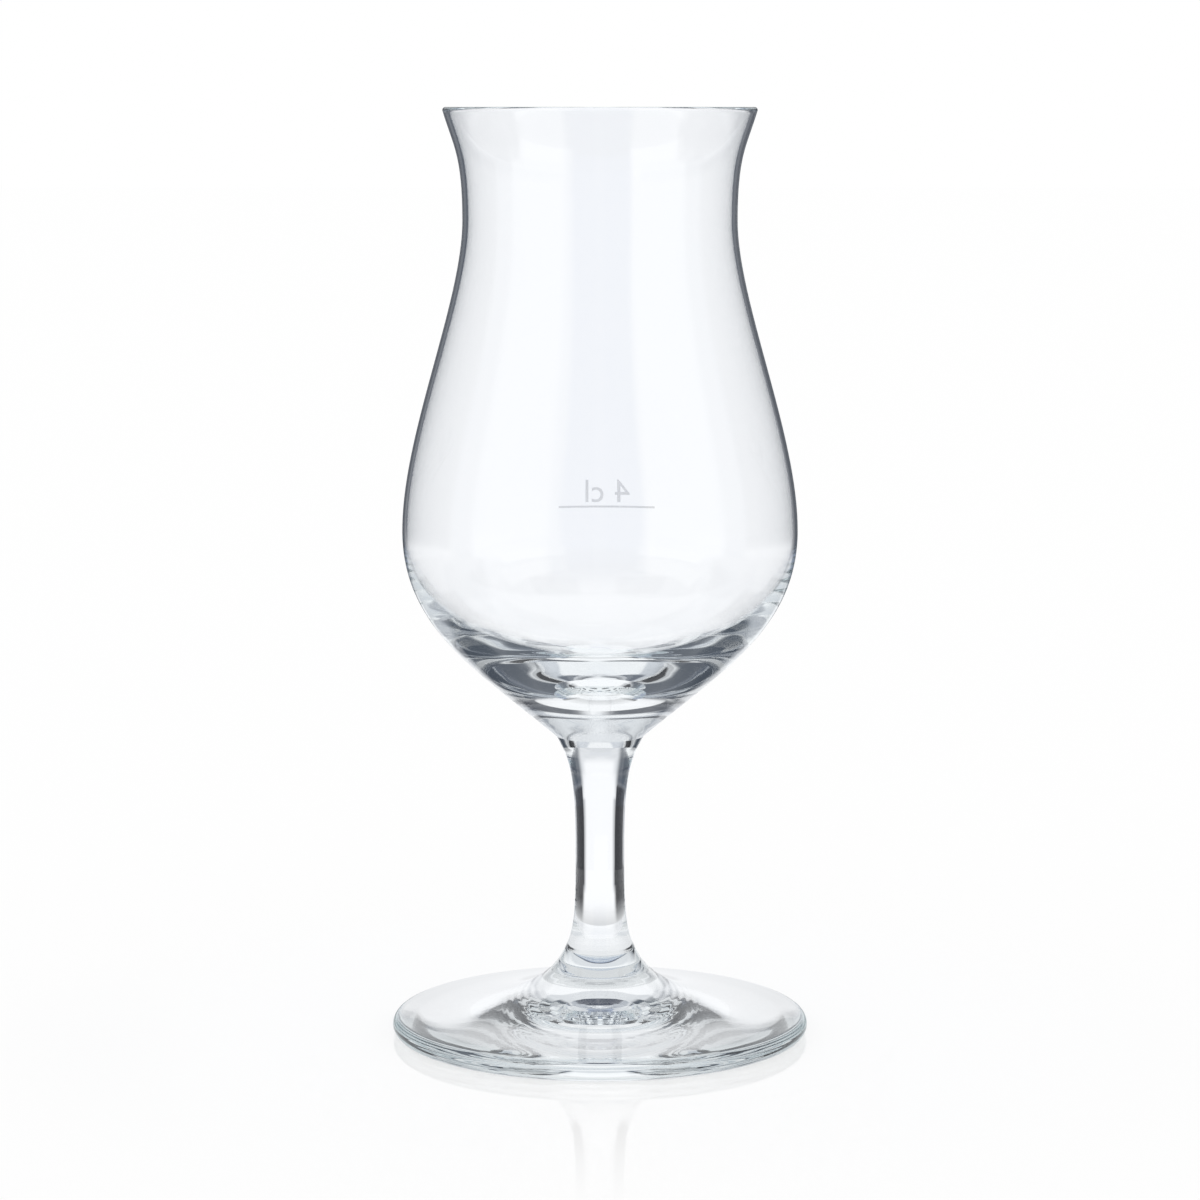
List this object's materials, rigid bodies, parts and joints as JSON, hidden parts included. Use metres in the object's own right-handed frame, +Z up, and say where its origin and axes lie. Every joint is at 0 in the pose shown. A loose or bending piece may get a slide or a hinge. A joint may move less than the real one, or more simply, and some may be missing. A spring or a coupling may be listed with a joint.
{
  "type": "whisky glass",
  "caption": "Stemmed whisky nosing glass: tulip bowl with a heavy solid base and a flared rim, a slender waisted stem and a wide foot with a ringed boss.",
  "frame": {"origin": "on the axis of the glass, in the plane of the flat ring that the foot stands on", "axes": "+Z up along the axis of the glass, -Y towards the viewer of the picture"},
  "size_m": [0.0636, 0.0636, 0.141],
  "materials": {
    "clear_glass": "clear, fire-polished",
    "measure_print": "thin fired enamel, matt"
  },
  "bodies": {
    "root": {"foot": "clear_glass", "stem": "clear_glass", "bowl": "clear_glass"}
  },
  "joints": []
}
